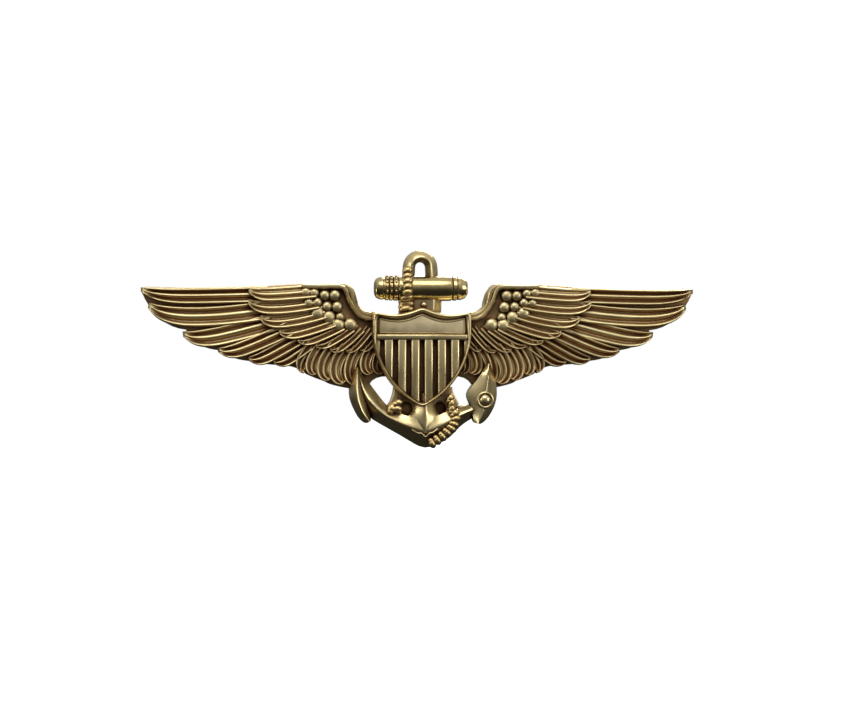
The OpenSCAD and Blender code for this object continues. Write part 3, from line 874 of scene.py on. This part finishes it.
ARCH_Y, ARCH_R = 7.2, 1.42
path = [((-1.52, 5.1), (-1, 0)), ((-1.5, 5.8), (-1, 0)), ((-1.45, 6.6), (-1, 0))]
for k in range(13):
    turn = math.pi * (1 - k / 12)
    out = (math.cos(turn), math.sin(turn))
    path.append(((ARCH_R * out[0], ARCH_Y + ARCH_R * out[1]), out))
path += [((1.45, 6.6), (1, 0)), ((1.5, 5.8), (1, 0)), ((1.52, 5.1), (1, 0))]
ARCH_SECTION = [(-0.78, 0.5), (-0.76, 0.95), (-0.52, 1.1), (-0.4, 1.7), (-0.33, 1.9), (-0.26, 1.98),
                (-0.1, 1.95), (0.3, 1.62), (0.62, 1.25), (0.74, 0.9), (0.76, 0.5)]
rows = [[(c[0] + out[0] * u, c[1] + out[1] * u, z) for c, out in path] for u, z in ARCH_SECTION]
ring = loft("ring_arch", rows, 0.02)
place(ring, "badge", GOLD, ("anchor_ring",))


def turns(name, places, tilt):
    """The turns of a rope: flattened beads, each given by its x, y, z, half-width, half-height and
    lean. `tilt` turns all of them further."""
    made = []
    for x, y, z, wide, tall, lean in places:
        put_down()
        bpy.ops.mesh.primitive_uv_sphere_add(segments=18, ring_count=12, radius=1)
        bead = bpy.context.active_object
        bead.scale = (wide, tall, 0.5)
        bead.rotation_euler = (0, 0, math.radians(lean + tilt))
        bead.location = (x, y, z)
        bpy.ops.object.transform_apply(location=True, rotation=True, scale=True)
        made.append(bead)
    return join(name, made)


# The upper rope runs down over the stock, and spreads out below it
ROPE_TOP, ROPE_PITCH = 6.75, 0.68
ROPE_LIFT = 1.58
SPREAD_BELOW = 3.6
upper = []
for k in range(8):
    y = ROPE_TOP - ROPE_PITCH * k
    lift = max(0.0, ROPE_LIFT**2 - (y - STOCK_Y) ** 2)
    z = max(1.85, STOCK_Z + math.sqrt(lift) if lift else 0)
    wide = 0.7 if y > SPREAD_BELOW else 0.92
    upper.append((-1.72 - 0.03 * k, y, z, wide, 0.5, 0))
    if y < SPREAD_BELOW:
        upper += [(-2.5, y + 0.25, 1.7, 0.42, 0.4, 20), (-1.35, y - 0.1, 1.95, 0.42, 0.38, 20)]
place(turns("rope_over_stock", upper, 14), "badge", ROPE_GOLD, ("upper_rope",))
# Each turn of the lower rope as x, y and lean; the last three are its end at the shield's left
LOWER_ROPE = [
    (3.55, -9.2, 60), (3.75, -9.85, 80), (3.75, -10.5, 75), (4.15, -11.05, 40), (4.3, -11.75, 10),
    (4.1, -12.45, -20), (3.75, -13.0, -35), (3.2, -13.5, -45), (2.6, -14.0, -55), (1.95, -14.45, -60),
    (1.3, -14.85, -65),
    (-2.95, -9.75, 20), (-3.05, -10.5, 0), (-3.8, -10.45, 70),
]
lower = []
for x, y, lean in LOWER_ROPE:
    across_x, across_y = math.cos(math.radians(lean)), math.sin(math.radians(lean))
    lower.append((x, y, 2.4, 0.64, 0.46, lean))
    lower.append((x - 0.4 * across_x, y - 0.4 * across_y, 2.35, 0.4, 0.38, lean + 30))
place(turns("rope_round_arm", lower, 0), "badge", ROPE_GOLD, ("lower_rope",))

# ---------------------------------------------------------------- posts and clutches

POST_X = 19.0
FINGER_W = 2.4
FINGER_T = 0.34
KNUCKLE_R, KNUCKLE_HALF = 0.3, 1.15
KNUCKLE_AT = (3.3, 0, -6.2)


def beside(obj, x):
    """A copy of a piece drawn round the origin, moved out to a post's axis."""
    twin = copy_of(obj)
    twin.location.x = x
    take(twin)
    bpy.ops.object.transform_apply(location=True, rotation=True, scale=True)
    return twin


def cut(obj, cutter):
    m = obj.modifiers.new("cut", "BOOLEAN")
    m.operation = "DIFFERENCE"
    m.solver = "EXACT"
    m.object = cutter
    apply_modifiers(obj)
    bpy.data.objects.remove(cutter)


def block(at, size):
    put_down()
    bpy.ops.mesh.primitive_cube_add(size=1, location=at)
    obj = bpy.context.active_object
    obj.scale = size
    bpy.ops.object.transform_apply(location=True, rotation=True, scale=True)
    return obj


def rod(radius, low, high):
    put_down()
    bpy.ops.mesh.primitive_cylinder_add(vertices=48, radius=radius, depth=high - low,
                                        location=(0, 0, (low + high) / 2))
    obj = bpy.context.active_object
    bpy.ops.object.transform_apply(location=True, rotation=True, scale=True)
    return obj


post = lathe("post", [
    (0, 0.5), (1.55, 0.5), (1.6, -0.02), (1.35, -0.08), (1.08, -0.2), (0.9, -0.42), (0.8, -0.7),
    (0.79, -2.3), (0.74, -2.4), (0.58, -2.42), (0.55, -2.5), (0.55, -3.85), (0.53, -3.92), (0.44, -4.0),
    (0.43, -4.2), (0.44, -4.4), (0.53, -4.48), (0.55, -4.55), (0.55, -7.35), (0.5, -7.5), (0.3, -7.95),
    (0.1, -8.18), (0, -8.2),
], 36)
disc = lathe("disc", [
    (0.86, -2.66), (0.92, -2.6), (2.2, -2.6), (2.35, -2.64), (2.5, -2.6), (4.3, -2.6), (4.55, -2.64),
    (4.68, -2.78), (4.7, -2.95), (4.64, -3.2), (4.5, -3.36), (4.3, -3.4), (4.18, -3.3), (4.16, -3.02),
    (4.0, -3.0), (0.92, -3.0), (0.86, -2.94), (0.86, -2.66),
], 64)
cap = lathe("cap", [
    (3.1, -3.02), (4.1, -3.02), (4.15, -3.1), (4.15, -3.34), (4.08, -3.4), (3.78, -3.4), (3.6, -3.46),
    (3.52, -3.62), (3.5, -3.9), (3.5, -7.2), (3.45, -7.5), (3.3, -7.76), (3.05, -7.93), (2.75, -8.0),
    (1.7, -8.0), (1.5, -7.97), (1.3, -7.9), (1.12, -7.88), (1.05, -7.8), (1.05, -7.62), (1.12, -7.55),
    (2.7, -7.6), (2.95, -7.5), (3.08, -7.3), (3.1, -7.0), (3.1, -3.02),
], 64)
# The slots in the cup's wall that the fingers come out of
SLOT_AT = (3.6, 0, -5.75)
SLOT_SIZE = (1.6, FINGER_W + 0.3, 3.9)
for side in (-1, 1):
    cut(cap, block((side * SLOT_AT[0], *SLOT_AT[1:]), SLOT_SIZE))


def finger_path():
    """The strip's middle line from its jaw, out through the cup's wall and round its curled tip."""
    line = [(0.12, 4.2), (0.9, 4.22), (1.7, 4.28), (2.35, 4.45), (2.8, 4.85), (3.08, 5.4), (3.3, 6.2),
            (3.62, 7.0),
            (4.1, 7.66), (4.8, 8.2), (5.5, 8.52), (6.05, 8.68), (6.32, 8.66), (6.42, 8.5), (6.36, 8.34)]
    return [Vector(p) for p in line]


def build_finger():
    line = finger_path()
    rows = []
    for share in (-1, -0.9, -0.5, 0, 0.5, 0.9, 1):
        row = []
        for i, p in enumerate(line):
            late = max(0, i - 8) / (len(line) - 9)
            half = FINGER_W / 2 * (0.98 + 0.22 * late - 0.3 * late**4)
            dish = 0.1 * late * (1 - share**2)
            row.append((p.x, share * half, -(p.y + dish)))
        rows.append(row)
    put_down()
    bpy.ops.mesh.primitive_grid_add(x_subdivisions=len(line) - 1, y_subdivisions=len(rows) - 1, size=2)
    obj = bpy.context.active_object
    points = [p for row in rows for p in row]
    for v, p in zip(obj.data.vertices, points, strict=True):
        v.co = p
    m = obj.modifiers.new("sheet", "SOLIDIFY")
    m.thickness = FINGER_T
    m.offset = 0
    apply_modifiers(obj)
    smooth(obj, 2)
    face_out(obj)
    cut(obj, rod(0.6, -6.0, -3.0))
    knuckle = rod(KNUCKLE_R, -KNUCKLE_HALF, KNUCKLE_HALF)
    take(knuckle)
    knuckle.rotation_euler = (math.pi / 2, 0, 0)
    knuckle.location = KNUCKLE_AT
    bpy.ops.object.transform_apply(location=True, rotation=True, scale=True)
    obj = join("finger", [obj, knuckle])
    face_out(obj)
    return obj


finger = build_finger()
for side, body in ((-1, "left"), (1, "right")):
    x = side * POST_X
    for source, label, rides, finish, slot, node in (
        (post, "post_wire", "badge", STEEL, "post_steel", body + "_post"),
        (disc, "clutch_base", body + "_clutch", BRASS, "clutch_brass", body + "_clutch_disc"),
        (cap, "clutch_cup", body + "_clutch", BRASS, "clutch_brass", body + "_clutch_cap"),
    ):
        obj = beside(source, x)
        obj.name = obj.data.name = body + "_" + label
        place(obj, rides, finish, (node,), 35)
    for reach, label in ((side, "outer"), (-side, "inner")):
        obj = copy_of(finger) if reach > 0 else mirrored(finger, "finger_twin")
        take(obj)
        obj.location.x = x
        bpy.ops.object.transform_apply(location=True, rotation=True, scale=True)
        obj.name = obj.data.name = f"{body}_{label}_squeeze_finger"
        place(obj, f"{body}_{label}_finger", BRASS, (f"{body}_clutch_{label}_finger",), 35)
for obj in (post, disc, cap, finger):
    bpy.data.objects.remove(obj)

# ---------------------------------------------------------------- camera, light and floor

camera_data = bpy.data.cameras.new("camera")
camera = bpy.data.objects.new("camera", camera_data)
bpy.context.collection.objects.link(camera)
bpy.context.scene.camera = camera
DISTANCE = 0.27
FIELD = 0.1062
SENSOR = 36
AIM = (0.46, -1.8, -4.18)
camera_data.sensor_width = SENSOR
camera_data.lens = SENSOR * DISTANCE / FIELD
yaw = math.radians(-6.5)
aim = Vector(AIM) * MM
camera.location = aim + Vector((math.sin(yaw), -math.cos(yaw), 0)) * DISTANCE
camera.rotation_euler = (math.pi / 2, 0, yaw)
camera_data.clip_start, camera_data.clip_end = 0.01, 10

bpy.ops.mesh.primitive_plane_add(size=3, location=(0, 0, -0.045))
floor = bpy.context.active_object
floor.name = "floor"
floor_finish = Finish("floor_paper")
floor_finish.shader.inputs["Base Color"].default_value = (0.6, 0.6, 0.6, 1)
floor_finish.shader.inputs["Roughness"].default_value = 0.9
floor_finish.shader.inputs["Emission Color"].default_value = (1, 1, 1, 1)
floor_finish.shader.inputs["Emission Strength"].default_value = 0.75
floor.data.materials.append(floor_finish.material)
floor.visible_glossy = False
floor.visible_diffuse = False


def softbox(name, at, size, power):
    light = bpy.data.lights.new(name, "AREA")
    light.shape = "RECTANGLE"
    light.size, light.size_y = size
    light.energy = power
    lamp = bpy.data.objects.new(name, light)
    bpy.context.collection.objects.link(lamp)
    lamp.location = at
    lamp.rotation_euler = (-Vector(at)).to_track_quat("-Z", "Y").to_euler()


softbox("key", (-0.06, -0.32, 0.42), (0.46, 0.30), 1.85)
softbox("fill", (0.42, -0.40, 0.10), (0.12, 0.30), 0.9)
softbox("side", (-0.5, -0.2, 0.1), (0.10, 0.30), 0.6)
softbox("back", (0.2, 0.5, 0.4), (0.4, 0.2), 4.0)

world = bpy.data.worlds.new("studio")
bpy.context.scene.world = world
world.use_nodes = True
tree = world.node_tree
background = tree.nodes["Background"]
path = tree.nodes.new("ShaderNodeLightPath")
where = tree.nodes.new("ShaderNodeTexCoord")
split = tree.nodes.new("ShaderNodeSeparateXYZ")
climb = tree.nodes.new("ShaderNodeMapRange")
climb.inputs["From Min"].default_value = -1
ramp = tree.nodes.new("ShaderNodeValToRGB")
stops = [(0.0, 0.03), (0.38, 0.05), (0.52, 0.2), (0.66, 0.45), (1.0, 0.85)]
while len(ramp.color_ramp.elements) < len(stops):
    ramp.color_ramp.elements.new(0.5)
for e, (at, value) in zip(ramp.color_ramp.elements, stops):
    e.position = at
    e.color = (value, value, value * 0.98, 1)
mix = tree.nodes.new("ShaderNodeMix")
mix.data_type = "RGBA"
mix.inputs[7].default_value = (1, 1, 1, 1)
tree.links.new(where.outputs["Generated"], split.inputs[0])
tree.links.new(split.outputs["Z"], climb.inputs["Value"])
tree.links.new(climb.outputs[0], ramp.inputs["Fac"])
tree.links.new(path.outputs["Is Camera Ray"], mix.inputs[0])
tree.links.new(ramp.outputs["Color"], mix.inputs[6])
tree.links.new(mix.outputs[2], background.inputs["Color"])
background.inputs["Strength"].default_value = 1.0
bpy.context.scene.view_settings.view_transform = "Standard"

for name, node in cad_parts.items():
    if name.endswith("_spring"):
        node.data.materials.clear()
        node.data.materials.append(SPRING)
